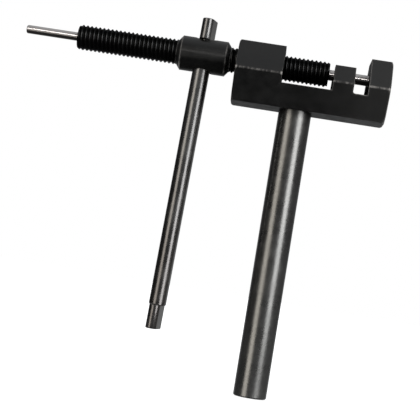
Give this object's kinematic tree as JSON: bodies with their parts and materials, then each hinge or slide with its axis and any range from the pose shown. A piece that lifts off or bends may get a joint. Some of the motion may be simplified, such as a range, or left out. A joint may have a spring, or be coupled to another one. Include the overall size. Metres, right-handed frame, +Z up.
{
  "type": "roller chain tool",
  "caption": "Rivet extractor for roller chain: slotted hexagonal body on a round handle, double-ended drive screw with pins, sliding T-bar.",
  "frame": {"origin": "centre of the flat free end of the handle", "axes": "+Z up the handle to the body, +X along the drive screw towards the anvil, -Y the front"},
  "size_m": [0.1385, 0.0262, 0.1371],
  "materials": {
    "body_black_oxide": "matt black oxide over machined steel",
    "handle_steel": "dark oiled steel, satin, speckled oxide",
    "screw_black": "black oxide, satin on the hub and glossy with oil on the threads",
    "pin_bright": "bright hardened steel",
    "tbar_steel": "dark oiled steel, satin, speckled oxide"
  },
  "bodies": {
    "frame": {"body": "body_black_oxide", "handle": "handle_steel"},
    "feed": {"thick_pin": "pin_bright"},
    "screw": {"drive_screw": "screw_black", "thin_pin": "pin_bright"},
    "bar": {"t_bar": "tbar_steel"}
  },
  "joints": [
    {"name": "screw_advance", "type": "slide", "parent": "frame", "child": "feed", "axis": [1, 0, 0], "range_m": [-0.029, 0.0014]},
    {"name": "screw_turn", "type": "hinge", "parent": "feed", "child": "screw", "pos_m": [-0.0373, 0, 0.1231], "axis": [1, 0, 0], "range_deg": [-6480, 300]},
    {"name": "t_bar_slide", "type": "slide", "parent": "screw", "child": "bar", "axis": [0.0236, -0.0349, 0.9991], "range_m": [0, 0.0889]}
  ],
  "couplings": [
    {"joint": "screw_advance", "follows": "screw_turn", "m_per_rad": 0.00025266}
  ]
}
